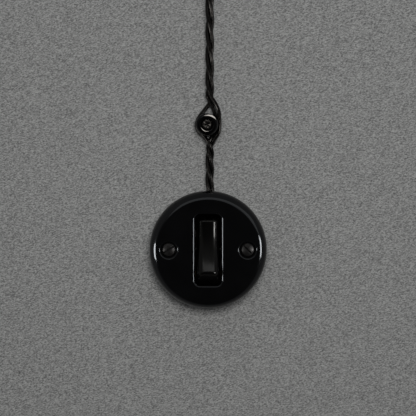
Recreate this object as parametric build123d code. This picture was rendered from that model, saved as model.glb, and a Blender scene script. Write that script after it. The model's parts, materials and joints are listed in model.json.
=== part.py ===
from build123d import *
import math
import os

# Everything is drawn with the wall as the XY plane, Y up the wall and Z out of it.

# Cover
cover_d = 90.0
cover_h = 30.0
front_t = 5.0
skirt_t = 4.5
side_draft = 0.3
shoulder_r = 6.8
inner_corner_r = 3.0
rim_lift = 0.5
rim_r = 0.8

# Opening for the rocker
opening_w = 20.0
opening_l = 53.8
opening_corner_r = 4.0
opening_edge_r = 1.7

# Cover screws and their seats
screw_spacing = 60.0
screw_d = 5.0
screw_head_d = 10.2
screw_head_h = 3.0
screw_dome = 1.1
screw_rim_r = 0.5
screw_slot_w = 1.3
screw_slot_depth = 1.6
left_slot_angle = 32.0
right_slot_angle = -48.0
screw_end_z = 2.5
bore_d = 12.2
bore_depth = 5.0
bore_edge_r = 1.4
boss_d = 17.0

# Mounting base
base_t = 6.0
base_gap = 0.4
pillar_d = 15.0
pillar_top = 13.0
insert_d = 7.0
insert_flange_d = 10.0
insert_flange_t = 1.2
wall_hole_circle = 60.0
wall_hole_d = 4.5
wall_sink_d = 8.6
wall_hole_angle = 45.0

# Switch block
slab_t = 3.0
slab_half_w = 16.8
slab_low = 24.5
slab_high = 23.0
wing_half_w = 21.6
wing_low = 3.5
wing_high = 15.5
slab_corner_r = 1.5
ear_t = 3.0
ear_half_w = 6.0
ear_gap = 0.8
ear_r = 3.3
block_screw_x = 9.0
block_screw_y = 12.0
block_screw_d = 3.0
block_head_d = 5.5
block_head_h = 2.0
nut_width = 5.5
nut_t = 2.4
nut_recess = 0.2

# Rocker and its pivot
pivot_depth = 9.0
pin_d = 3.0
pin_overhang = 0.4
rocker_w = 18.0
rocker_face_w = 14.8
rocker_face_l = 41.2
rocker_rise = 12.4
rocker_skirt = 3.0
rocker_wall = 2.2
rocker_dish = 2.8
rocker_round_r = 6.0
rocker_tip_gap = 0.55
rocker_corner_r = 3.0
rocker_edge_r = 2.5
hub_r = 4.2
rest_tilt = 11.0
stop_y = 19.4
stop_half_w = 2.2
press_travel = 14.0

# Contacts
foot_y = 19.5
foot_half_w = 2.6
foot_pocket = 5.0
bridge_t = 0.8
bridge_half_l = 7.4
bridge_w = 4.4
contact_x = 5.2
contact_d = 3.6
contact_h = 0.8
contact_stand = 0.6
contact_stem_d = 1.6
closed_gap = 0.12
strip_t = 1.0
strip_w = 3.0
strip_foot_w = 4.2

# Return spring
spring_y = 11.3
spring_d = 6.4
spring_wire = 0.7
spring_turns = 6.5
spring_pad_drop = 1.7
spring_pad_rim = 0.4
spigot_d = 4.0
spigot_h = 2.2

# Terminals
terminal_x = 17.2
terminal_y = 9.5
terminal_w = 7.2
terminal_l = 10.0
terminal_h = 7.0
wire_bore_d = 2.8
wire_bore_up = 3.0
clamp_d = 3.0
clamp_head_d = 5.2
clamp_head_h = 2.0
clamp_lift = 0.6

# Cord
strand_d = 3.2
cord_x = 1.2
cord_z = 9.0
cord_inner_end = 37.0
notch_gap = 0.7
core_d = 1.2
core_bare = 3.0
core_reach = 7.0
tail_straight = 3.5
tail_bend = 6.5
spare_straight = 5.0
cap_d = 3.8
cap_l = 7.0

# Wall insulators
insulator_x = -0.9
insulator_y = 95.8
insulator_pitch = 126.0
insulator_h = 19.0
foot_r = 9.0
neck_r = 5.5
groove_r = 4.0
groove_z = 8.5
head_r = 8.6
head_outer_r = 2.6
head_inner_r = 1.1
head_bore_r = 4.8
head_bore_floor = 14.6
insulator_hole_d = 4.2
fork_half = 19.5
fork_lead = 2.6
fork_bend = 6.6
second_layer = 2.2
tail_l = 16.0
ferrule_collar_l = 5.0
ferrule_pin_d = 1.5
ferrule_pin_l = 6.0
wood_screw_d = 3.5
wood_shank_d = 2.8
wood_thread_start = 1.0
wood_head_d = 7.2
wood_head_h = 2.2
wood_head_edge = 0.7
wood_screw_behind = 24.0
wood_point = 5.0
cross_l = 4.2
cross_w = 0.9
cross_depth = 1.5

# Fits
run_fit = 0.05
hole_fit = 0.15
strand_fit = 0.1
slide = 0.1

cover_r = cover_d / 2
cavity_r = cover_r - skirt_t
ceiling_z = cover_h - front_t
base_r = cavity_r - base_gap
screw_x = screw_spacing / 2
seat_z = cover_h - bore_depth
slab_z = base_t + slab_t
pivot_z = cover_h - pivot_depth
spring_pad_z = pivot_z - spring_pad_drop
ear_in = rocker_w / 2 + ear_gap
ear_out = ear_in + ear_t
tip_r = math.hypot(opening_l / 2 - rocker_tip_gap, pivot_depth - front_t)
rocker_lean = (rocker_w - rocker_face_w) / 2 / rocker_rise
strip_in = ear_out + run_fit * 4
strip_top = slab_z + strip_t
bundle_r = strand_d / math.sqrt(3) + run_fit
cord_d = 2 * bundle_r + strand_d
low = (Align.CENTER, Align.CENTER, Align.MIN)
middle = (Align.CENTER, Align.CENTER, Align.CENTER)


def rod(d, z0, z1):
    return Pos(0, 0, z0) * Cylinder(d / 2, z1 - z0, align=low)


def block(x0, x1, y0, y1, z0, z1):
    centre = Pos((x0 + x1) / 2, (y0 + y1) / 2, (z0 + z1) / 2)
    return centre * Box(abs(x1 - x0), abs(y1 - y0), abs(z1 - z0), align=middle)


def pad(x0, x1, y0, y1):
    return Pos((x0 + x1) / 2, (y0 + y1) / 2) * Rectangle(abs(x1 - x0), abs(y1 - y0))


def tilted(part, angle):
    return Pos(0, 0, pivot_z) * Rot(-angle, 0, 0) * part


def tilted_point(y, z, angle):
    a = math.radians(angle)
    up = y * math.cos(a) + z * math.sin(a)
    out = z * math.cos(a) - y * math.sin(a)
    return up, pivot_z + out


def tube(path, d):
    return sweep(Plane(path @ 0, z_dir=path % 0) * Circle(d / 2), path=path)


def ring(body, r, z):
    circles = body.edges().filter_by(GeomType.CIRCLE)
    return circles.filter_by(lambda e: abs(e.radius - r) < slide and abs(e.center().Z - z) < slide)


def cover_shell():
    front_r = cover_r - side_draft
    shell = Pos(0, 0, rim_lift) * Cone(cover_r, front_r, cover_h - rim_lift, align=low)
    shell = fillet(ring(shell, front_r, cover_h), shoulder_r)
    shell = fillet(ring(shell, cover_r, rim_lift), rim_r)
    cavity = rod(2 * cavity_r, 0, ceiling_z)
    return shell - fillet(ring(cavity, cavity_r, ceiling_z), inner_corner_r)


def cut_with_soft_edge(body, cutter, radius):
    cut = body - cutter
    edges = new_edges(body, cutter, combined=cut)
    front = edges.filter_by_position(Axis.Z, cover_h - slide, cover_h + slide)
    return fillet(front, radius)


def porcelain_cover():
    body = cover_shell()
    for side in (-1, 1):
        body += Pos(side * screw_x, 0) * rod(boss_d, pillar_top, ceiling_z + front_t / 2)
    opening = RectangleRounded(opening_w, opening_l, opening_corner_r)
    opening = Pos(0, 0, ceiling_z - front_t) * extrude(opening, amount=3 * front_t)
    body = cut_with_soft_edge(body, opening, opening_edge_r)
    for side in (-1, 1):
        here = Pos(side * screw_x, 0)
        body = cut_with_soft_edge(body, here * rod(bore_d, seat_z, cover_h + 1), bore_edge_r)
        body -= here * rod(screw_d + 4 * hole_fit, 0, cover_h)
    return body - cord_notch()


def cord_way():
    inner = cord_inner_end - notch_gap
    length = cover_r + 1 - inner
    return Pos(cord_x, inner, cord_z) * Rot(-90, 0, 0) * rod(cord_d + 2 * notch_gap, 0, length)


def cord_notch():
    r = cord_d / 2 + notch_gap
    slot = block(cord_x - r, cord_x + r, cord_inner_end - notch_gap, cover_r + 1, 0, cord_z)
    return slot + cord_way()


def cover_screw(slot_angle):
    head = rod(screw_head_d, seat_z, seat_z + screw_head_h)
    ball_r = ((screw_head_d / 2) ** 2 + screw_dome ** 2) / (2 * screw_dome)
    head &= Pos(0, 0, seat_z + screw_head_h - ball_r) * Sphere(ball_r)
    head = fillet(ring(head, screw_head_d / 2, seat_z + screw_head_h - screw_dome), screw_rim_r)
    slot = Box(2 * screw_head_d, screw_slot_w, 2 * screw_slot_depth)
    slot = Pos(0, 0, seat_z + screw_head_h) * Rot(0, 0, slot_angle) * slot
    return head - slot + rod(screw_d, screw_end_z, seat_z + run_fit)


def cover_screws():
    left = Pos(-screw_x, 0) * cover_screw(left_slot_angle)
    right = Pos(screw_x, 0) * cover_screw(right_slot_angle)
    return [left, right]


def cover_insert():
    flange = rod(insert_flange_d, nut_recess, nut_recess + insert_flange_t)
    barrel = rod(insert_d, nut_recess, pillar_top - nut_recess)
    return flange + barrel - rod(screw_d + 2 * run_fit, 0, pillar_top)


def wall_hole_spots():
    return [PolarLocations(wall_hole_circle / 2, 2, wall_hole_angle).locations[i] for i in range(2)]


def block_screw_spots():
    return [Pos(block_screw_x, -block_screw_y), Pos(-block_screw_x, block_screw_y)]


def mounting_base():
    body = rod(2 * base_r, 0, base_t)
    for side in (-1, 1):
        here = Pos(side * screw_x, 0)
        body += here * rod(pillar_d, 0, pillar_top)
        body -= here * rod(insert_d + 2 * run_fit, 0, pillar_top)
        body -= here * rod(insert_flange_d + 2 * hole_fit, 0, nut_recess + insert_flange_t + run_fit)
    for spot in wall_hole_spots():
        sink = (wall_sink_d - wall_hole_d) / 2
        body -= spot * rod(wall_hole_d, 0, base_t)
        body -= spot * Pos(0, 0, base_t - sink) * Cone(wall_hole_d / 2, wall_sink_d / 2, sink, align=low)
    for spot in block_screw_spots():
        body -= spot * rod(block_screw_d + 2 * hole_fit, 0, base_t)
        body -= spot * extrude(hexagon(nut_width + 2 * hole_fit), amount=nut_recess + nut_t + run_fit)
    return body - cord_way()


def hexagon(width):
    return RegularPolygon(width / 2, 6, major_radius=False)


def slab_outline():
    outline = pad(-slab_half_w, slab_half_w, -slab_low, wing_high)
    outline += pad(-wing_half_w, wing_half_w, wing_low, wing_high)
    outline += pad(-ear_in, ear_in, 0, slab_high)
    corners = [v for v in outline.vertices() if abs(v.Y) > wing_high + 1 or abs(v.X) > slab_half_w + 1]
    return fillet(corners, slab_corner_r)


def ear():
    upright = pad(-ear_half_w, ear_half_w, base_t, slab_z + slab_t)
    cheek = make_hull((upright + Pos(0, pivot_z) * Circle(ear_r)).edges())
    cheek -= Pos(0, pivot_z) * Circle(pin_d / 2 + run_fit / 2)
    return extrude(Plane.YZ * cheek, amount=ear_t)


def rest_stop():
    y = tilted_point(stop_y, -rocker_skirt, rest_tilt)[0]
    inner = rocker_w / 2 - 2 * rocker_wall
    post = block(inner, ear_in, y - stop_half_w, y + stop_half_w, base_t, pivot_z)
    clear = block(-ear_out, ear_out, 0, opening_l, -rocker_skirt - slide, opening_l)
    return post - tilted(clear, rest_tilt)


def switch_block():
    body = Pos(0, 0, base_t) * extrude(slab_outline(), amount=slab_t)
    body += Pos(ear_in, 0, 0) * ear()
    body += Pos(-ear_out, 0, 0) * ear()
    stop = rest_stop()
    body += stop
    body += mirror(stop, Plane.YZ)
    body += Pos(0, -spring_y) * rod(spigot_d, base_t, slab_z + spigot_h)
    for spot in block_screw_spots():
        body -= spot * rod(block_screw_d + 2 * hole_fit, base_t, slab_z)
    for side in (-1, 1):
        here = Pos(side * contact_x, closed_contact()[0])
        body -= here * rod(contact_stem_d + 2 * run_fit, base_t, slab_z)
    return body


def slotted_screw(d, head_d, head_h, z_end, z_seat):
    head = rod(head_d, z_seat, z_seat + head_h)
    head = fillet(ring(head, head_d / 2, z_seat + head_h), head_h / 4)
    slot = Pos(0, 0, z_seat + head_h) * Box(2 * head_d, head_d / 6, head_h)
    return head - slot + rod(d, z_end, z_seat + run_fit)


def block_screws():
    screw = slotted_screw(block_screw_d, block_head_d, block_head_h, nut_recess, slab_z)
    return [spot * screw for spot in block_screw_spots()]


def block_nuts():
    nut = Pos(0, 0, nut_recess) * extrude(hexagon(nut_width), amount=nut_t)
    nut -= rod(block_screw_d + 2 * run_fit, 0, base_t)
    return [spot * nut for spot in block_screw_spots()]


def rocker_pin():
    half = ear_out + pin_overhang
    return Pos(-half, 0, pivot_z) * Rot(0, 90, 0) * rod(pin_d, 0, 2 * half)


def rocker_side(reach, bottom, roof):
    tip_z = rocker_rise - roof
    tip_y = reach - tip_z * (tip_r - rocker_face_l / 2) / rocker_rise
    heel_y = math.sqrt(reach ** 2 - bottom ** 2)
    outline = Polyline((-tip_y, tip_z), (-reach, 0), (-heel_y, -bottom), (heel_y, -bottom), (reach, 0), (tip_y, tip_z))
    outline += ThreePointArc((tip_y, tip_z), (0, tip_z - rocker_dish), (-tip_y, tip_z))
    return make_face(Plane.YZ * outline)


def rocker_crown():
    dish_r = ((rocker_face_l / 2) ** 2 + rocker_dish ** 2) / (2 * rocker_dish)
    crest = rocker_rise - rocker_dish
    high_half = rocker_w / 2 - rocker_lean * crest + 2 * slide
    low_half = high_half + rocker_lean * 2 * tip_r
    sill = [(-low_half, crest - 2 * tip_r), (low_half, crest - 2 * tip_r)]
    section = make_face(Polyline(sill + [(high_half, crest), (-high_half, crest)], close=True))
    section = fillet(section.vertices().group_by(Axis.Y)[-1], rocker_round_r)
    return revolve(Plane.XZ * section, Axis((0, 0, crest + dish_r), (1, 0, 0)))


def rocker_blank():
    body = extrude(rocker_side(tip_r, rocker_skirt, 0), amount=rocker_w, both=True)
    low_half = rocker_w / 2 + rocker_lean * rocker_skirt
    high_half = rocker_w / 2 - rocker_lean * cover_h
    sill = [(-low_half, -rocker_skirt), (low_half, -rocker_skirt)]
    crest = [(high_half, cover_h), (-high_half, cover_h)]
    waist = make_face(Plane.XZ * Polyline(sill + crest, close=True))
    body &= extrude(waist, amount=opening_l, both=True)
    ends = body.edges().filter_by(lambda e: abs(e.center().Y) > rocker_face_l / 2)
    body = fillet(ends.filter_by(lambda e: e.bounding_box().size.X < rocker_skirt), rocker_corner_r)
    body &= rocker_crown()
    tips = body.edges().filter_by(lambda e: e.center().Z > rocker_rise - rocker_dish)
    return fillet(tips.filter_by(lambda e: e.bounding_box().size.Y < rocker_dish), rocker_edge_r)


def rocker_hollow():
    inside = rocker_side(tip_r - rocker_wall, rocker_skirt, rocker_wall)
    return extrude(inside, amount=rocker_face_w / 2 - rocker_wall, both=True)


def rocker_core(bottom):
    core = rocker_side(tip_r - rocker_wall / 2, bottom, rocker_wall / 2)
    return extrude(core, amount=rib_half(), both=True)


def rib_half():
    return rocker_face_w / 2 - rocker_wall + slide


def rocker_ribs():
    hub = Rot(0, 90, 0) * Cylinder(hub_r, 2 * rib_half())
    web = block(-rib_half(), rib_half(), -hub_r, hub_r, 0, tip_r)
    leg_low = -foot_y - foot_half_w
    leg_high = -foot_y + foot_half_w
    leg = block(-rib_half(), rib_half(), leg_low, leg_high, 0, tip_r)
    foot = block(-foot_half_w, foot_half_w, leg_low, leg_high, -foot_bottom(), slide)
    return hub + ((web + leg) & rocker_core(rocker_skirt)) + foot


def spring_seat():
    half = spring_d / 2 + spring_pad_rim
    seat = block(-rib_half(), rib_half(), -spring_y - half, -spring_y + half, spring_pad_z, pivot_z + tip_r)
    seat &= tilted(rocker_core(hub_r), rest_tilt)
    return seat + Pos(0, -spring_y) * rod(spigot_d, spring_pad_z - spigot_h, spring_pad_z + slide)


def rocker():
    body = rocker_blank() - rocker_hollow() + rocker_ribs()
    body -= Rot(0, 90, 0) * Cylinder(pin_d / 2 + run_fit, 2 * rocker_w)
    body -= Pos(0, -foot_y) * rod(contact_stem_d + 2 * run_fit, -foot_bottom(), foot_pocket - foot_bottom())
    return tilted(body, rest_tilt) + spring_seat()


def foot_bottom():
    a = math.radians(rest_tilt - press_travel)
    reach = pivot_z - strip_top - contact_stand - closed_gap
    return (reach + foot_y * math.sin(a)) / math.cos(a) - contact_h - bridge_t


def bridge_bottom():
    return foot_bottom() + bridge_t


def closed_contact():
    return tilted_point(-foot_y, -bridge_bottom() - contact_h, rest_tilt - press_travel)


def contact_bridge():
    strip = RectangleRounded(2 * bridge_half_l, bridge_w, bridge_w / 3)
    plate = Pos(0, -foot_y, -bridge_bottom()) * extrude(strip, amount=bridge_t)
    for x in (-contact_x, 0, contact_x):
        plate -= Pos(x, -foot_y) * rod(contact_stem_d + 2 * run_fit, -bridge_bottom(), -foot_bottom())
    return tilted(plate, rest_tilt)


def bridge_contacts():
    top = -bridge_bottom()
    button = rod(contact_d, top - contact_h, top) + rod(contact_stem_d, top - run_fit, -foot_bottom())
    return [tilted(Pos(side * contact_x, -foot_y) * button, rest_tilt) for side in (-1, 1)]


def bridge_rivet():
    top = -bridge_bottom()
    rivet = rod(contact_d, top - contact_h / 2, top)
    rivet += rod(contact_stem_d, top - run_fit, foot_pocket - foot_bottom() - slide)
    return tilted(Pos(0, -foot_y) * rivet, rest_tilt)


def contact_strip(side):
    y_contact = closed_contact()[0]
    outer = side * (strip_in + strip_w)
    run = pad(side * strip_in, outer, y_contact - strip_foot_w / 2, terminal_y + terminal_l / 2)
    inner = side * (contact_x - strip_foot_w / 2)
    toe = pad(inner, outer, y_contact - strip_foot_w / 2, y_contact + strip_foot_w / 2)
    seat = Pos(side * terminal_x, terminal_y) * Rectangle(terminal_w, terminal_l)
    strip = Pos(0, 0, slab_z) * extrude(run + toe + seat, amount=strip_t)
    stem = rod(contact_stem_d + 2 * run_fit, slab_z, strip_top)
    return strip - Pos(side * contact_x, y_contact) * stem


def strip_contacts():
    button = rod(contact_d, strip_top, strip_top + contact_stand)
    button += rod(contact_stem_d, base_t, strip_top + run_fit)
    return [Pos(side * contact_x, closed_contact()[0]) * button for side in (-1, 1)]


def return_spring():
    start = slab_z + spring_wire / 2 + run_fit
    height = spring_pad_z - spring_wire / 2 - run_fit - start
    coil_r = (spring_d - spring_wire) / 2
    path = Pos(0, -spring_y, start) * Helix(height / spring_turns, height, coil_r)
    return sweep(Plane(path @ 0, z_dir=path % 0) * Circle(spring_wire / 2), path=path, is_frenet=True)


def terminal(side):
    here = Pos(side * terminal_x, terminal_y)
    outline = RectangleRounded(terminal_w, terminal_l, slab_corner_r / 2)
    body = here * Pos(0, 0, strip_top) * extrude(outline, amount=terminal_h)
    body -= here * Pos(0, 0, strip_top + wire_bore_up) * Rot(90, 0, 0) * Cylinder(wire_bore_d / 2, terminal_l)
    return body - here * rod(clamp_d + 2 * run_fit, core_height(), terminal_top())


def terminal_top():
    return strip_top + terminal_h


def core_height():
    return strip_top + wire_bore_up - wire_bore_d / 2 + core_d / 2 + run_fit


def terminal_screws():
    tip = core_height() + core_d / 2 + run_fit
    screw = slotted_screw(clamp_d, clamp_head_d, clamp_head_h, tip, terminal_top() + clamp_lift)
    return [Pos(side * terminal_x, terminal_y) * screw for side in (-1, 1)]


def bundle_spots():
    angles = [math.radians(a) for a in (210, 330, 90)]
    return [(cord_x + bundle_r * math.cos(a), cord_z + bundle_r * math.sin(a)) for a in angles]


def tail_path(side, spot):
    x, z = spot
    end_y = terminal_y + terminal_l / 2 + core_bare
    start = (x, cord_inner_end, z)
    bend = (x, cord_inner_end - tail_straight, z)
    turn = (side * terminal_x, end_y + tail_straight, core_height())
    return FilletPolyline(start, bend, turn, (side * terminal_x, end_y, core_height()), radius=tail_bend)


def conductor_tails():
    left, right, spare = bundle_spots()
    tails = [tube(tail_path(-1, left), strand_d), tube(tail_path(1, right), strand_d)]
    down = Pos(spare[0], cord_inner_end, spare[1]) * Rot(90, 0, 0) * rod(strand_d, 0, spare_straight)
    return tails + [down]


def conductor_cores():
    end_y = terminal_y + terminal_l / 2 + core_bare
    core = Rot(90, 0, 0) * rod(core_d, 0, core_bare + core_reach)
    return [Pos(side * terminal_x, end_y, core_height()) * core for side in (-1, 1)]


def spare_cap():
    x, z = bundle_spots()[2]
    cap = rod(cap_d, 0, cap_l)
    cap = fillet(ring(cap, cap_d / 2, cap_l), cap_d / 3)
    return Pos(x, cord_inner_end - spare_straight, z) * Rot(90, 0, 0) * cap


def cord_length(y0, y1):
    return Pos(cord_x, y0, cord_z) * Rot(-90, 0, 0) * rod(cord_d, 0, y1 - y0)


def fork_apex(start_x, reach, side):
    u = start_x - insulator_x
    h = fork_half - fork_lead
    k = h ** 2 - reach ** 2
    root = math.sqrt((reach ** 2 * u) ** 2 + k * reach ** 2 * (u ** 2 + h ** 2))
    return insulator_x + (-reach ** 2 * u + side * root) / k


def fork_strand(spot, reach, side, y):
    x, z = spot
    bend = fork_half - fork_lead
    points = [(x, y + fork_half, z), (x, y + bend, z), (fork_apex(x, reach, side), y, z)]
    points += [(x, y - bend, z), (x, y - fork_half, z)]
    print("cord arc radii", round(reach, 2), fork_bend)
    return tube(FilletPolyline(points, radius=[fork_bend, reach, fork_bend]), strand_d)


def fork(y):
    left, right, front = bundle_spots()
    drop = groove_z - left[1]
    wall = neck_r + groove_r - math.sqrt(groove_r ** 2 - drop ** 2)
    inner = wall + strand_d / 2 + strand_fit
    return [
        fork_strand(left, inner, -1, y),
        fork_strand(right, inner, 1, y),
        fork_strand(front, inner + second_layer, 1, y),
    ]


def insulator(y):
    body = rod(2 * foot_r, 0, groove_z) + rod(2 * head_r, groove_z, insulator_h)
    body -= rod(2 * head_bore_r, head_bore_floor, insulator_h)
    body = fillet(ring(body, head_bore_r, insulator_h), head_inner_r)
    body = fillet(ring(body, head_r, insulator_h), head_outer_r)
    body -= Pos(0, 0, groove_z) * Torus(neck_r + groove_r, groove_r)
    body -= rod(insulator_hole_d, 0, insulator_h)
    return Pos(insulator_x, y) * body


def wood_screw(y):
    head_top = head_bore_floor + wood_head_h
    head = rod(wood_head_d, head_bore_floor, head_top)
    head = fillet(ring(head, wood_head_d / 2, head_top), wood_head_edge)
    for turn in (0, 90):
        arm = Box(cross_l, cross_w, 2 * cross_depth)
        head -= Pos(0, 0, head_top) * Rot(0, 0, turn) * arm
    shank = rod(wood_shank_d, -wood_thread_start - run_fit, head_bore_floor + run_fit)
    shank += rod(wood_screw_d, wood_point - wood_screw_behind, -wood_thread_start)
    point = Pos(0, 0, -wood_screw_behind) * Cone(wood_screw_d / 20, wood_screw_d / 2, wood_point, align=low)
    return Pos(insulator_x, y) * (head + shank + point)


def end_ferrules():
    y = insulator_y + insulator_pitch + fork_half + tail_l
    ferrule = Rot(-90, 0, 0) * (rod(strand_d, 0, ferrule_collar_l) + rod(
        ferrule_pin_d, ferrule_collar_l - run_fit, ferrule_collar_l + ferrule_pin_l))
    return [Pos(x, y, z) * ferrule for x, z in bundle_spots()]


def save(name, shape):
    solids = shape if isinstance(shape, list) else [shape]
    placed = [Rot(90, 0, 0) * solid for solid in solids]
    whole = placed[0] if len(placed) == 1 else Compound(children=placed)
    export_step(whole, "parts/" + name + ".step")


os.makedirs("parts", exist_ok=True)
upper_y = insulator_y + insulator_pitch
save("porcelain_cover", porcelain_cover())
save("cover_screws", cover_screws())
save("cover_inserts", [Pos(side * screw_x, 0) * cover_insert() for side in (-1, 1)])
save("mounting_base", mounting_base())
save("switch_block", switch_block())
save("block_screws", block_screws())
save("block_nuts", block_nuts())
save("rocker_pin", rocker_pin())
save("rocker", rocker())
save("contact_bridge", contact_bridge())
save("bridge_contacts", bridge_contacts())
save("bridge_rivet", bridge_rivet())
save("left_strip", contact_strip(-1))
save("right_strip", contact_strip(1))
save("strip_contacts", strip_contacts())
save("return_spring", return_spring())
save("left_terminal", terminal(-1))
save("right_terminal", terminal(1))
save("terminal_screws", terminal_screws())
save("conductor_tails", conductor_tails())
save("conductor_cores", conductor_cores())
save("spare_cap", spare_cap())
save("cord_entry", cord_length(cord_inner_end, insulator_y - fork_half))
save("cord_run", cord_length(insulator_y + fork_half, upper_y - fork_half))
save("cord_tail", cord_length(upper_y + fork_half, upper_y + fork_half + tail_l))
save("lower_fork", fork(insulator_y))
save("upper_fork", fork(upper_y))
save("end_ferrules", end_ferrules())
save("lower_insulator", insulator(insulator_y))
save("upper_insulator", insulator(upper_y))
save("insulator_screws", [wood_screw(insulator_y), wood_screw(upper_y)])
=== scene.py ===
import bpy
import bmesh
import json
import math
from mathutils import Matrix, Vector


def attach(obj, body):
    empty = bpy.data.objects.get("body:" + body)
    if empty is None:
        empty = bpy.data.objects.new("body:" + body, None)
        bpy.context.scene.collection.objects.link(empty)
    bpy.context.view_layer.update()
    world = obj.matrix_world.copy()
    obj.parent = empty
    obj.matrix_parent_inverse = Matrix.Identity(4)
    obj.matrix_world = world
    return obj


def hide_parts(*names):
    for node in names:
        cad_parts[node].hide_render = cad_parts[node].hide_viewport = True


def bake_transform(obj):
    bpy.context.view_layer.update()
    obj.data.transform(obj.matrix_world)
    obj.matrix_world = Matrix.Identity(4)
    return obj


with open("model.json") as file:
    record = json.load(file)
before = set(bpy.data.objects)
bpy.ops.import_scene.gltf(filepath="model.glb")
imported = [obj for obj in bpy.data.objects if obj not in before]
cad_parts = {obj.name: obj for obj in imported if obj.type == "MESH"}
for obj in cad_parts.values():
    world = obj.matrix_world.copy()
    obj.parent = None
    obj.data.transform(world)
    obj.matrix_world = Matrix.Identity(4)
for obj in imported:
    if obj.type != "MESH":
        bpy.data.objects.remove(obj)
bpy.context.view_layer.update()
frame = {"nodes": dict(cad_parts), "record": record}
nodes = frame["nodes"]
mm = 0.001
print("frame loaded:", len(nodes), "nodes")


# Wall coordinates in millimetres: across, up, and out towards the room
def place(across, up, out):
    return Vector((across * mm, -out * mm, up * mm))


def addObject(name, data):
    made = bpy.data.objects.new(name, data)
    bpy.context.scene.collection.objects.link(made)
    return made


def newNoise(tree, vector, scale, detail):
    made = tree.nodes.new("ShaderNodeTexNoise")
    made.inputs["Scale"].default_value = scale
    made.inputs["Detail"].default_value = detail
    tree.links.new(vector, made.inputs["Vector"])
    return made.outputs["Fac"]


def newRamp(tree, value, stops, colours):
    made = tree.nodes.new("ShaderNodeValToRGB")
    for element, stop, colour in zip(made.color_ramp.elements, stops, colours):
        element.position = stop
        element.color = (*colour, 1)
    tree.links.new(value, made.inputs["Fac"])
    return made


def newRelief(tree, height, look):
    made = tree.nodes.new("ShaderNodeBump")
    made.inputs["Strength"].default_value = look["bump"]
    made.inputs["Distance"].default_value = look["depth"] * mm
    tree.links.new(height, made.inputs["Height"])
    return made


# What all finishes share: where the noises change colour and gloss, and how fine they are
finishBasics = {"ior": 1.5, "specular": 0.5, "tintStops": (0.35, 0.7), "glossStops": (0.3, 0.7),
                "patchDetail": 4, "grainDetail": 3, "rippleDetail": 2, "edgeSamples": 6}


# Each finish mixes two colours with noise, and varies its roughness and relief
def newFinish(name, look):
    made = bpy.data.materials.new(name)
    made.use_nodes = True
    tree = made.node_tree
    shader = tree.nodes["Principled BSDF"]
    shader.inputs["Metallic"].default_value = look.get("metal", 0.0)
    shader.inputs["IOR"].default_value = finishBasics["ior"]
    shader.inputs["Specular IOR Level"].default_value = look.get("specular", finishBasics["specular"])
    shader.inputs["Specular Tint"].default_value = (*look.get("shine", (1, 1, 1)), 1)
    coords = tree.nodes.new("ShaderNodeTexCoord")
    stretch = tree.nodes.new("ShaderNodeMapping")
    stretch.inputs["Scale"].default_value = look.get("stretch", (1, 1, 1))
    tree.links.new(coords.outputs["Object"], stretch.inputs["Vector"])
    vector = stretch.outputs["Vector"]
    patch = newNoise(tree, vector, look["patch"], finishBasics["patchDetail"])
    if look.get("layer"):  # painted shade: the braid's colour is darker in the valleys between yarns and on the yarns that pass under, and paler on their crests
        raised = tree.nodes.new("ShaderNodeAttribute")
        raised.attribute_name = look["layer"]
        paintedValleyShade = tree.nodes.new("ShaderNodeMath")
        paintedValleyShade.operation = "MULTIPLY"
        tree.links.new(patch, paintedValleyShade.inputs[0])
        tree.links.new(raised.outputs["Fac"], paintedValleyShade.inputs[1])
        patch = paintedValleyShade.outputs[0]
    tint = newRamp(tree, patch, finishBasics["tintStops"], (look["dark"], look["light"]))
    tree.links.new(tint.outputs["Color"], shader.inputs["Base Color"])
    gloss = tree.nodes.new("ShaderNodeMapRange")
    gloss.inputs["From Min"].default_value, gloss.inputs["From Max"].default_value = finishBasics["glossStops"]
    gloss.inputs["To Min"].default_value, gloss.inputs["To Max"].default_value = look["rough"]
    grain = newNoise(tree, vector, look["grain"], finishBasics["grainDetail"])
    tree.links.new(grain, gloss.inputs["Value"])
    tree.links.new(gloss.outputs["Result"], shader.inputs["Roughness"])
    ripple = newNoise(tree, vector, look["ripple"], finishBasics["rippleDetail"])
    relief = newRelief(tree, ripple, look)
    tree.links.new(relief.outputs["Normal"], shader.inputs["Normal"])
    if look.get("edge"):  # soft edges where a tool or a mould would leave them
        soft = tree.nodes.new("ShaderNodeBevel")
        soft.samples = finishBasics["edgeSamples"]
        soft.inputs["Radius"].default_value = look["edge"] * mm
        tree.links.new(soft.outputs["Normal"], relief.inputs["Normal"])
    return made


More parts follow.
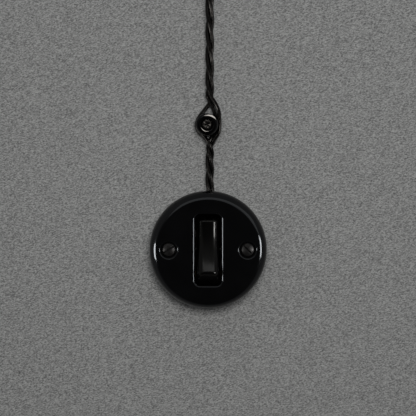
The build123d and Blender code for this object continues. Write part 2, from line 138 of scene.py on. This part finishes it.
finishLooks = {
    "black_glaze": {
        "dark": (0.0012, 0.0012, 0.0013), "light": (0.0022, 0.0022, 0.0024), "patch": 60,
        "rough": (0.07, 0.11), "grain": 90, "ripple": 140, "bump": 0.12, "depth": 0.08},
    "insulator_glaze": {
        "dark": (0.0012, 0.0011, 0.0011), "light": (0.003, 0.0026, 0.0025), "patch": 120, "specular": 0.32,
        "rough": (0.08, 0.13), "grain": 200, "ripple": 260, "bump": 0.15, "depth": 0.06},
    "bare_porcelain": {
        "dark": (0.11, 0.1, 0.092), "light": (0.2, 0.185, 0.17), "patch": 180,
        "rough": (0.7, 0.9), "grain": 500, "ripple": 1500, "bump": 0.35, "depth": 0.06},
    "black_rocker": {
        "dark": (0.0014, 0.0014, 0.0014), "light": (0.0029, 0.0026, 0.0023), "patch": 90, "specular": 0.36,
        "shine": (1.0, 0.95, 0.88),
        "rough": (0.14, 0.22), "grain": 160, "ripple": 200, "bump": 0.08, "depth": 0.05},
    "moulded_resin": {
        "dark": (0.05, 0.024, 0.013), "light": (0.1, 0.055, 0.032), "patch": 260,
        "rough": (0.38, 0.55), "grain": 400, "ripple": 900, "bump": 0.2, "depth": 0.03, "edge": 0.25},
    "dark_steel": {
        "dark": (0.034, 0.031, 0.029), "light": (0.052, 0.048, 0.045), "patch": 300, "metal": 0.9,
        "rough": (0.32, 0.46), "grain": 900, "ripple": 1400, "bump": 0.25, "depth": 0.03, "edge": 0.22},
    "screw_steel": {
        "dark": (0.014, 0.0132, 0.0125), "light": (0.028, 0.0265, 0.0255), "patch": 500, "metal": 0.4,
        "specular": 0.25,
        "rough": (0.35, 0.5), "grain": 1100, "ripple": 1700, "bump": 0.2, "depth": 0.02, "edge": 0.12},
    "bright_steel": {
        "dark": (0.46, 0.46, 0.45), "light": (0.66, 0.66, 0.64), "patch": 500, "metal": 1.0,
        "rough": (0.2, 0.38), "grain": 1200, "ripple": 2000, "bump": 0.2, "depth": 0.02, "edge": 0.15},
    "pin_steel": {
        "dark": (0.05, 0.05, 0.05), "light": (0.09, 0.09, 0.09), "patch": 500, "metal": 1.0,
        "rough": (0.35, 0.5), "grain": 1200, "ripple": 2000, "bump": 0.2, "depth": 0.02, "edge": 0.15},
    "spring_steel": {
        "dark": (0.34, 0.33, 0.32), "light": (0.52, 0.51, 0.5), "patch": 700, "metal": 1.0,
        "rough": (0.22, 0.36), "grain": 1500, "ripple": 2400, "bump": 0.2, "depth": 0.015},
    "brass": {
        "dark": (0.5, 0.33, 0.12), "light": (0.72, 0.52, 0.22), "patch": 350, "metal": 1.0,
        "rough": (0.2, 0.4), "grain": 800, "ripple": 1600, "bump": 0.2, "depth": 0.02,
        "stretch": (1, 1, 0.15), "edge": 0.12},
    "copper": {
        "dark": (0.5, 0.2, 0.1), "light": (0.8, 0.4, 0.25), "patch": 600, "metal": 1.0,
        "rough": (0.22, 0.4), "grain": 1400, "ripple": 2600, "bump": 0.5, "depth": 0.05,
        "stretch": (1, 1, 0.08)},
    "contact_metal": {
        "dark": (0.7, 0.69, 0.66), "light": (0.85, 0.84, 0.81), "patch": 800, "metal": 1.0,
        "rough": (0.12, 0.26), "grain": 1600, "ripple": 2200, "bump": 0.12, "depth": 0.01, "edge": 0.1},
    "tinned_metal": {
        "dark": (0.5, 0.5, 0.49), "light": (0.7, 0.7, 0.68), "patch": 500, "metal": 1.0,
        "rough": (0.24, 0.42), "grain": 900, "ripple": 1500, "bump": 0.2, "depth": 0.03},
    "textile": {
        "dark": (0.0015, 0.0014, 0.0013), "light": (0.005, 0.0046, 0.0042), "patch": 900, "specular": 0.22,
        "shine": (1.0, 0.9, 0.8),
        "rough": (0.3, 0.42), "grain": 1800, "ripple": 3500, "bump": 0.4, "depth": 0.05},
    # braid: near-black in the yarn valleys and lighter on the crests, a painted shade set by the yarn attribute
    "braid": {
        "dark": (0.0004, 0.0004, 0.0004), "light": (0.027, 0.0245, 0.022), "patch": 900, "specular": 0.27,
        "shine": (1.0, 0.9, 0.8), "layer": "yarnShade",
        "rough": (0.23, 0.32), "grain": 1800, "ripple": 3500, "bump": 0.4, "depth": 0.05},
    "cap_rubber": {
        "dark": (0.02, 0.02, 0.02), "light": (0.045, 0.045, 0.044), "patch": 500,
        "rough": (0.5, 0.7), "grain": 900, "ripple": 1600, "bump": 0.25, "depth": 0.03},
}
finishes = {name: newFinish(name, look) for name, look in finishLooks.items()}
for part in frame["record"]["subparts"]:
    shown = nodes[part["node"]]
    shown.data.materials.clear()
    shown.data.materials.append(finishes[part["material_slot"]])
nodes["rocker_pin"].data.materials[0] = finishes["pin_steel"]
print("finishes made:", len(finishes))


# Camera straight in front of the wall, a little above the switch
cameraLook = {"across": -0.1, "up": 31.65, "out": 1200, "lens": 133.5, "sensor": 36, "nearest": 10}
cameraData = bpy.data.cameras.new("photoCamera")
cameraData.sensor_width = cameraLook["sensor"]
cameraData.lens = cameraLook["lens"]
cameraData.clip_start = cameraLook["nearest"] * mm
camera = addObject("photoCamera", cameraData)
camera.location = place(cameraLook["across"], cameraLook["up"], cameraLook["out"])
camera.rotation_euler = (math.radians(90), 0, 0)
bpy.context.scene.camera = camera


# Backdrop: a plain wall, clear from behind so that the back of the switch can be seen
wallLook = {"half": 900, "behind": 0.3, "dark": (0.1, 0.1, 0.1), "light": (0.48, 0.48, 0.47), "stops": (0.3, 0.7),
            "grit": 1900, "gritDetail": 5, "brushed": 12, "streak": 2.4, "rough": 0.95, "specular": 0.1,
            "bump": 0.7, "depth": 0.6}


def newPlaster(look):
    made = bpy.data.materials.new("wallPlaster")
    made.use_nodes = True
    tree = made.node_tree
    shader = tree.nodes["Principled BSDF"]
    shader.inputs["Roughness"].default_value = look["rough"]
    shader.inputs["Specular IOR Level"].default_value = look["specular"]
    coords = tree.nodes.new("ShaderNodeTexCoord")
    brushed = tree.nodes.new("ShaderNodeMapping")
    brushed.vector_type = "TEXTURE"
    brushed.inputs["Rotation"].default_value = (0, math.radians(-look["brushed"]), 0)
    brushed.inputs["Scale"].default_value = (look["streak"], 1, 1)
    tree.links.new(coords.outputs["Object"], brushed.inputs["Vector"])
    grit = newNoise(tree, brushed.outputs["Vector"], look["grit"], look["gritDetail"])
    tint = newRamp(tree, grit, look["stops"], (look["dark"], look["light"]))
    tree.links.new(tint.outputs["Color"], shader.inputs["Base Color"])
    relief = newRelief(tree, grit, look)
    tree.links.new(relief.outputs["Normal"], shader.inputs["Normal"])
    clear = tree.nodes.new("ShaderNodeBsdfTransparent")
    side = tree.nodes.new("ShaderNodeNewGeometry")
    either = tree.nodes.new("ShaderNodeMixShader")
    tree.links.new(side.outputs["Backfacing"], either.inputs[0])
    tree.links.new(shader.outputs[0], either.inputs[1])
    tree.links.new(clear.outputs[0], either.inputs[2])
    tree.links.new(either.outputs[0], tree.nodes["Material Output"].inputs["Surface"])
    return made


def newWall(look):
    flat = bmesh.new()
    bmesh.ops.create_grid(flat, x_segments=1, y_segments=1, size=look["half"] * mm)
    bmesh.ops.rotate(flat, verts=flat.verts, matrix=Matrix.Rotation(math.radians(90), 3, "X"))
    bmesh.ops.translate(flat, verts=flat.verts, vec=(0, look["behind"] * mm, 0))
    mesh = bpy.data.meshes.new("wallBackdrop")
    flat.to_mesh(mesh)
    flat.free()
    mesh.materials.append(newPlaster(look))
    made = addObject("wallBackdrop", mesh)
    return made


wall = newWall(wallLook)


# Two softboxes give the arcs on the shoulder, dim panels above the bands on the cover and the rocker.
# The insulators have a warm card, the wall and the back of the base a lamp each
lightLooks = {
    "leftSoftbox": {"at": (-743, -50, 669), "aim": (0, 0, 20), "width": 330, "height": 220, "power": 3.4,
                    "colour": (0.92, 0.96, 1.0)},
    "rightSoftbox": {"at": (640, 10, 770), "aim": (0, 0, 20), "width": 260, "height": 240, "power": 3.0,
                     "colour": (0.92, 0.96, 1.0)},
    "wallLamp": {"at": (50, 165, 1000), "aim": (0, 30, 0), "width": 300, "height": 300, "power": 5.3,
                 "colour": (1.0, 1.0, 0.99)},
    "topPanel": {"at": (120, 820, 880), "aim": (0, 0, 20), "width": 1500, "height": 200, "power": 0.95,
                 "colour": (0.9, 0.95, 1.0)},
    "coverPanel": {"at": (250, 410, 1100), "aim": (0, 0, 30), "width": 1300, "height": 420, "power": 0.85,
                   "colour": (0.9, 0.95, 1.0)},
    "knobPanel": {"at": (80, 235, 78), "aim": (-1, 96, 17), "width": 340, "height": 100, "power": 2.0,
                  "colour": (1.0, 0.94, 0.87)},
    "backLamp": {"at": (-350, 350, -900), "aim": (0, 60, 0), "width": 700, "height": 700, "power": 9.0,
                 "colour": (1.0, 1.0, 1.0)},
}


def addLight(name, look):
    data = bpy.data.lights.new(name, "AREA")
    data.shape = "RECTANGLE"
    data.size = look["width"] * mm
    data.size_y = look["height"] * mm
    data.energy = look["power"]
    data.color = look["colour"]
    made = addObject(name, data)
    made.location = place(*look["at"])
    made.rotation_euler = (place(*look["aim"]) - made.location).to_track_quat("-Z", "Y").to_euler()
    return made


lights = {name: addLight(name, look) for name, look in lightLooks.items()}
lights["knobPanel"].visible_diffuse = False  # a card that only shows in the glaze


# The room is dim grey, and dark in the middle of what the switch faces
roomLook = {"dark": (0, -0.87, -0.5), "edges": (0.5, 0.84), "round": (0.15, 0.155, 0.16),
            "front": (0.027, 0.027, 0.028)}


def shadeRoom(tree, look):
    coords = tree.nodes.new("ShaderNodeTexCoord")
    facing = tree.nodes.new("ShaderNodeVectorMath")
    facing.operation = "DOT_PRODUCT"
    facing.inputs[1].default_value = look["dark"]
    tree.links.new(coords.outputs["Generated"], facing.inputs[0])
    shade = newRamp(tree, facing.outputs["Value"], look["edges"], (look["round"], look["front"]))
    shade.color_ramp.interpolation = "EASE"
    tree.links.new(shade.outputs["Color"], tree.nodes["Background"].inputs["Color"])


world = bpy.data.worlds.new("room")
bpy.context.scene.world = world
world.use_nodes = True
shadeRoom(world.node_tree, roomLook)
bpy.context.scene.view_settings.view_transform = "Standard"
print("camera, wall and lights set")


# New pieces are modelled in millimetres, with their axis upright, and put in place when finished
pieceLook = {"weld": 0.001, "sharpAngle": 40}
outOfWall = Matrix.Rotation(math.radians(90), 4, "X")


# Turned pieces: a profile of radius and height, spun round its axis
def spun(profile, steps):
    form = bmesh.new()
    verts = [form.verts.new((radius, 0, height)) for radius, height in profile]
    edges = [form.edges.new(pair) for pair in zip(verts, verts[1:])]
    bmesh.ops.spin(form, geom=verts + edges, axis=(0, 0, 1), cent=(0, 0, 0), angle=math.tau, steps=steps,
                   use_merge=True)
    bmesh.ops.remove_doubles(form, verts=form.verts, dist=pieceLook["weld"])
    bmesh.ops.recalc_face_normals(form, faces=form.faces)
    return form


# Wound pieces: the open ends are closed with one face each
def closeEnds(form, sides):
    bmesh.ops.holes_fill(form, edges=[edge for edge in form.edges if edge.is_boundary], sides=sides)
    bmesh.ops.recalc_face_normals(form, faces=form.faces)


def finished(name, form, where, finish):
    bmesh.ops.transform(form, matrix=where @ Matrix.Scale(mm, 4), verts=form.verts)
    mesh = bpy.data.meshes.new(name)
    form.to_mesh(mesh)
    form.free()
    mesh.shade_smooth()
    mesh.set_sharp_from_angle(angle=math.radians(pieceLook["sharpAngle"]))
    mesh.materials.append(finish)
    return addObject(name, mesh)


def cutWith(piece, cutter):
    cut = piece.modifiers.new("cut", "BOOLEAN")
    cut.object = cutter
    cut.operation = "DIFFERENCE"
    cut.solver = "EXACT"
    seen = piece.evaluated_get(bpy.context.evaluated_depsgraph_get())
    mesh = bpy.data.meshes.new_from_object(seen)
    piece.modifiers.clear()
    piece.data = mesh
    bpy.data.objects.remove(cutter)


def joinTo(piece, other):
    form = bmesh.new()
    form.from_mesh(piece.data)
    form.from_mesh(other.data)
    form.to_mesh(piece.data)
    form.free()
    bpy.data.objects.remove(other)


# Insulator screws: a pan head with a cross recess, and a coarse thread behind the wall
insulatorAt = {"across": -0.9, "lower": 95.8, "upper": 221.8}
woodScrew = {"headRadius": 3.8, "seat": 14.6, "top": 16.8, "crown": 0.12, "rim": 0.15, "edge": 0.7,
             "rounding": (0.13, 0.5), "shank": 1.4, "core": 1.2, "runOut": 0.4, "tip": -24.0, "tipRadius": 0.15,
             "tipLength": 0.4, "steps": 48}
screwThread = {"radius": 1.75, "root": 1.15, "pitch": 1.5, "from": -1.2, "to": -19.0, "ridge": (0.32, 0.42, 0.9),
               "steps": 28}
crossRecess = {"across": 4.2, "width": 0.9, "depth": 1.5, "turn": 20, "taper": 0.7}


def woodScrewForm(look, thread):
    head, seat, top, edge, rim = (look[key] for key in ("headRadius", "seat", "top", "edge", "rim"))
    near, far = (edge * share for share in look["rounding"])
    profile = [(0, look["tip"]), (look["tipRadius"], look["tip"] + look["tipLength"]), (look["core"], thread["to"]),
               (look["core"], thread["from"]), (look["shank"], thread["from"] + look["runOut"]),
               (look["shank"], seat), (head - rim, seat), (head, seat + rim), (head, top - edge),
               (head - near, top - far), (head - far, top - near), (head - edge, top), (0, top + look["crown"])]
    return spun(profile, look["steps"])


def threadForm(look):
    form = bmesh.new()
    low = look["to"]
    turns = (look["from"] - low) / look["pitch"]
    crestFrom, crestTo, foot = look["ridge"]
    corners = [(look["root"], low), (look["radius"], low + crestFrom), (look["radius"], low + crestTo),
               (look["root"], low + foot)]
    ridge = [form.verts.new((radius, 0, height)) for radius, height in corners]
    sides = [form.edges.new(pair) for pair in zip(ridge, ridge[1:] + ridge[:1])]
    steps = int(turns * look["steps"])
    bmesh.ops.spin(form, geom=ridge + sides, axis=(0, 0, 1), cent=(0, 0, 0), angle=math.tau * turns, steps=steps,
                   dvec=(0, 0, look["pitch"] * turns / steps))
    closeEnds(form, len(corners))
    return form


def crossForm(look, top):
    form = bmesh.new()
    reach = look["across"] / 2
    half = look["width"] / 2
    outline = []
    for arm in range(4):
        quarter = Matrix.Rotation(math.radians(look["turn"] + 90 * arm), 3, "Z")
        for corner in ((reach, -half, 0), (reach, half, 0), (half, half, 0)):
            outline.append(form.verts.new(quarter @ Vector(corner)))
    face = form.faces.new(outline)
    raised = bmesh.ops.extrude_face_region(form, geom=[face])["geom"]
    bmesh.ops.translate(form, vec=(0, 0, 2 * look["depth"]),
                        verts=[made for made in raised if isinstance(made, bmesh.types.BMVert)])
    bmesh.ops.scale(form, vec=(look["taper"], look["taper"], 1), verts=outline)
    bmesh.ops.translate(form, vec=(0, 0, top - look["depth"]), verts=form.verts)
    bmesh.ops.recalc_face_normals(form, faces=form.faces)
    return form


screws = []
for level in ("lower", "upper"):
    name = level + "Screw"
    where = Matrix.Translation(place(insulatorAt["across"], insulatorAt[level], 0)) @ outOfWall
    steel = finishes["screw_steel"]
    screw = finished(name, woodScrewForm(woodScrew, screwThread), where, steel)
    cutWith(screw, finished(name + "Cutter", crossForm(crossRecess, woodScrew["top"]), where, steel))
    joinTo(screw, finished(name + "Thread", threadForm(screwThread), where, steel))
    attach(screw, "housing")
    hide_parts("insulator_screws")
    screws.append(screw)
print("insulator screws threaded:", [len(screw.data.polygons) for screw in screws], "faces")


# Return spring: wound wire with a closed coil at each end
springLook = {"up": -11.3, "from": 9.05, "to": 19.25, "coil": 2.85, "wire": 0.7, "closed": 1.0, "open": 4.5,
              "closedPitch": 1.03, "fixedEnd": 1.6, "movingEnd": 1.0, "steps": 24, "sides": 12}


def springForm(look):
    form = bmesh.new()
    wire = look["wire"]
    first = Matrix.Translation((look["coil"], 0, look["from"] + wire / 2)) @ outOfWall
    ring = bmesh.ops.create_circle(form, segments=look["sides"], radius=wire / 2, matrix=first)["verts"]
    tip = ring + form.edges[:]
    rise = look["to"] - look["from"] - wire
    closedRise = wire * look["closedPitch"] * look["closed"]
    coils = ((look["closed"], closedRise), (look["open"], rise - 2 * closedRise), (look["closed"], closedRise))
    for turns, climb in coils:
        steps = round(turns * look["steps"])
        tip = bmesh.ops.spin(form, geom=tip, axis=(0, 0, 1), cent=(0, 0, 0), angle=math.tau * turns, steps=steps,
                             dvec=(0, 0, climb / steps))["geom_last"]
    closeEnds(form, look["sides"])
    return form


where = Matrix.Translation(place(0, springLook["up"], 0)) @ outOfWall
spring = finished("returnSpring", springForm(springLook), where, finishes["spring_steel"])
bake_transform(spring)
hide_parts("return_spring")
print("spring wound:", len(spring.data.polygons), "faces")


# Which lamp lights which piece. The lamp for the back shines through the wall
def linkLight(name, pieces, state, role="receiver_collection"):
    group = bpy.data.collections.new(name + "Link")
    setattr(lights[name].light_linking, role, group)
    for piece in pieces:
        group.objects.link(piece)
    for entry in group.collection_objects:
        entry.light_linking.link_state = state


cover = nodes["porcelain_cover"]
knobPieces = [nodes["lower_insulator"], nodes["upper_insulator"], *screws]
backPieces = [nodes[name] for name in ("mounting_base", "cover_inserts", "block_nuts", "block_screws")]
linkLight("leftSoftbox", [wall, nodes["rocker"], *knobPieces], "EXCLUDE")
linkLight("rightSoftbox", [wall, *knobPieces], "EXCLUDE")
linkLight("knobPanel", knobPieces, "INCLUDE")
linkLight("wallLamp", [wall], "INCLUDE")
linkLight("topPanel", [cover], "EXCLUDE")
linkLight("coverPanel", [cover], "INCLUDE")
linkLight("backLamp", backPieces, "INCLUDE")
linkLight("backLamp", [wall], "EXCLUDE", "blocker_collection")
print("lamps linked:", len(lights))


# Cord: three strands that twist together and part round the insulators
cordLook = {"x": 1.2, "out": 9.0, "strand": 3.2, "gap": 0.05, "step": 30, "inside": 10, "start": 37.0, "exit": 45,
            "end": 257.3, "sides": 32, "smooth": 6}

# Each way round an insulator, from below to above it: height, side and distance from the wall
roundLeft = [(-21, 3.95, 9.0), (-18, 3.1, 10.4), (-14, 1.4, 10.9), (-9, -1.9, 9.6), (-4.6, -7.1, 8.6),
             (0.5, -8.3, 8.4), (5.2, -6.8, 8.2), (11, -2.3, 7.4), (16.5, 2.2, 7.1)]
roundFront = [(-21, 1.2, 7.4), (-16, 3.3, 8.0), (-11, 5.9, 9.3), (-5.5, 9.5, 10.5), (3.5, 9.7, 10.8),
              (11, 9.2, 10.8), (15.5, 7.0, 10.6), (19.5, 4.6, 10.7)]
roundInner = [(-21, 1.2, 10.6), (-16, 0.7, 8.2), (-11, 2.5, 7.1), (-5, 7.4, 7.3), (4, 7.6, 7.6),
              (10.8, 5.5, 8.2), (15.7, 3.5, 8.6), (20, 1.3, 8.9)]
ways = {"left": roundLeft, "front": roundFront, "inner": roundInner}

# Turns are a strand's angle round the cord in degrees, 0 right and 90 towards the room.
# The twist changes its pace at the rim of the cover and twice between the insulators
aboveTurn = {"left": 300, "front": 60, "inner": 180}
twistLook = {"rim": 47.1, "slowTo": 130.8, "evenTo": 192, "partsBelow": 21, "joinsAbove": 21.6, "startTurn": -270,
             "rimTurn": -240, "slowTurn": 120, "evenTurn": 516, "lastTurn": 540, "tailTurn": 30}


# The spline runs inside its control points, so they stand a little outside the touching strands
def twist(up0, turn0, up1, turn1):
    touching = cordLook["strand"] / math.sqrt(3) + cordLook["gap"]
    bundle = touching / math.cos(math.radians(cordLook["inside"]))
    steps = max(2, round(abs(turn1 - turn0) / cordLook["step"]))
    points = []
    for i in range(steps + 1):
        turn = math.radians(turn0 + (turn1 - turn0) * i / steps)
        up = up0 + (up1 - up0) * i / steps
        points.append(place(cordLook["x"] + bundle * math.cos(turn), up, cordLook["out"] + bundle * math.sin(turn)))
    return points


def roundKnob(way, knob):
    return [place(insulatorAt["across"] + side, knob + up, out) for up, side, out in way]


def strandRoute(low, lower, upper):
    look = twistLook
    high = aboveTurn[lower]
    above = aboveTurn[upper]
    knob1 = insulatorAt["lower"]
    knob2 = insulatorAt["upper"]
    route = twist(cordLook["start"], low + look["startTurn"], look["rim"], low + look["rimTurn"])
    route += twist(look["rim"], low + look["rimTurn"], knob1 - look["partsBelow"], low)[1:-1]
    route += roundKnob(ways[lower], knob1)
    route += twist(knob1 + look["joinsAbove"], high, look["slowTo"], high + look["slowTurn"])
    route += twist(look["slowTo"], high + look["slowTurn"], look["evenTo"], high + look["evenTurn"])[1:]
    route += twist(look["evenTo"], high + look["evenTurn"], knob2 - look["partsBelow"], high + look["lastTurn"])[1:-1]
    route += roundKnob(ways[upper], knob2)
    return route + twist(knob2 + look["joinsAbove"], above, cordLook["end"], above + look["tailTurn"])


def newCurve(name, route):
    curve = bpy.data.curves.new(name, "CURVE")
    curve.dimensions = "3D"
    line = curve.splines.new("NURBS")
    line.points.add(len(route) - 1)
    for point, at in zip(line.points, route):
        point.co = (*at, 1)
    line.order_u = 3
    line.use_endpoint_u = True
    line.resolution_u = cordLook["smooth"]
    return addObject(name, curve)


# A braided sleeve: two sets of yarns that pass over and under each other
# crest, dip and underShade also set the painted shade in the braid's colour: darker in the valleys and on the yarns
# that pass under
braidLook = {"carriers": 8, "lay": 20.0, "relief": 0.34, "crest": 0.55, "dip": 0.45, "underShade": 0.8}


def newStrand(name, route):
    guide = newCurve(name + "Guide", route)
    path = [point.co.copy() for point in bpy.data.meshes.new_from_object(guide).vertices]
    along = [0.0]
    for here, ahead in zip(path, path[1:]):
        along.append(along[-1] + (ahead - here).length / mm)
    sides = cordLook["sides"]
    guide.data.bevel_depth = cordLook["strand"] / 2 * mm
    guide.data.bevel_resolution = sides // 2 - 2
    guide.data.use_fill_caps = True
    mesh = bpy.data.meshes.new_from_object(guide)
    mesh.name = name
    bpy.data.objects.remove(guide)
    # Painted shade for the braid's colour: each vertex stores its relief height, lowered further on the yarns that
    # pass under
    yarnShade = mesh.attributes.new("yarnShade", "FLOAT", "POINT")
    for i, vertex in enumerate(mesh.vertices):
        ring = min(i // sides, len(path) - 1)
        turn = (i % sides) / sides * braidLook["carriers"]
        lay = along[ring] / braidLook["lay"]
        left = turn + lay
        right = turn - lay
        over = (math.floor(left) + math.floor(right)) % 2
        top, under = (left, right) if over else (right, left)
        rise = abs(math.sin(math.pi * top))
        rise *= braidLook["crest"] + braidLook["dip"] * abs(math.sin(math.pi * under))
        vertex.co += (vertex.co - path[ring]).normalized() * (rise - 1) * braidLook["relief"] * mm
        yarnShade.data[i].value = rise * (1.0 if over else braidLook["underShade"])
    mesh.shade_smooth()
    return addObject(name, mesh), path, along[-1]


# Ferrules: a grooved collar and a crimped pin at the end of each strand
ferrule = {"collar": 1.6, "collarLength": 5.0, "rim": 0.25, "grooves": 5, "groovesFrom": 0.6, "groovePitch": 0.7,
           "grooveDepth": 0.12, "grooveSteps": (0.15, 0.3, 0.45), "shoulderFrom": 0.6, "shoulderTo": 0.1,
           "shoulderIn": 0.3, "pin": 0.75, "pinLength": 6.0, "rootOut": 0.1, "rootUp": 0.3, "tipIn": 0.25,
           "tipDown": 0.4, "crimpFrom": 1.2, "crimp": 0.94, "steps": 32}


def ferruleForm(look):
    collar, pin, end = look["collar"], look["pin"], look["collarLength"]
    floor = collar - look["grooveDepth"]
    down, along, out = look["grooveSteps"]
    profile = [(0, 0), (collar - look["rim"], 0), (collar, look["rim"])]
    for i in range(look["grooves"]):
        low = look["groovesFrom"] + look["groovePitch"] * i
        profile += [(collar, low), (floor, low + down), (floor, low + along), (collar, low + out)]
    tip = end + look["pinLength"]
    profile += [(collar, end - look["shoulderFrom"]), (collar - look["shoulderIn"], end - look["shoulderTo"]),
                (pin + look["rootOut"], end), (pin, end + look["rootUp"]), (pin, tip - look["tipDown"]),
                (pin - look["tipIn"], tip), (0, tip)]
    form = spun(profile, look["steps"])
    for vert in form.verts:  # the crimp leaves the pin a little flat
        if end + look["crimpFrom"] < vert.co.z < tip:
            vert.co.x *= look["crimp"]
    return form


# For each strand: its turn under the lower insulator, and its ways round the lower and the upper one
strandTurns = {"strandFront": (240, "front", "front"), "strandInner": (120, "inner", "left"),
               "strandLeft": (360, "left", "inner")}
for name, turns in strandTurns.items():
    strand, path, length = newStrand(name, strandRoute(*turns))
    strand.data.materials.append(finishes["braid"])
    end = finished(name + "Ferrule", ferruleForm(ferrule), Matrix.Translation(path[-1]), finishes["tinned_metal"])
    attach(end, "housing")
    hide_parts("end_ferrules")
    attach(strand, "housing")
    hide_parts("cord_entry", "cord_run", "cord_tail", "lower_fork", "upper_fork")
    print(name, "laid:", round(length, 1), "mm")
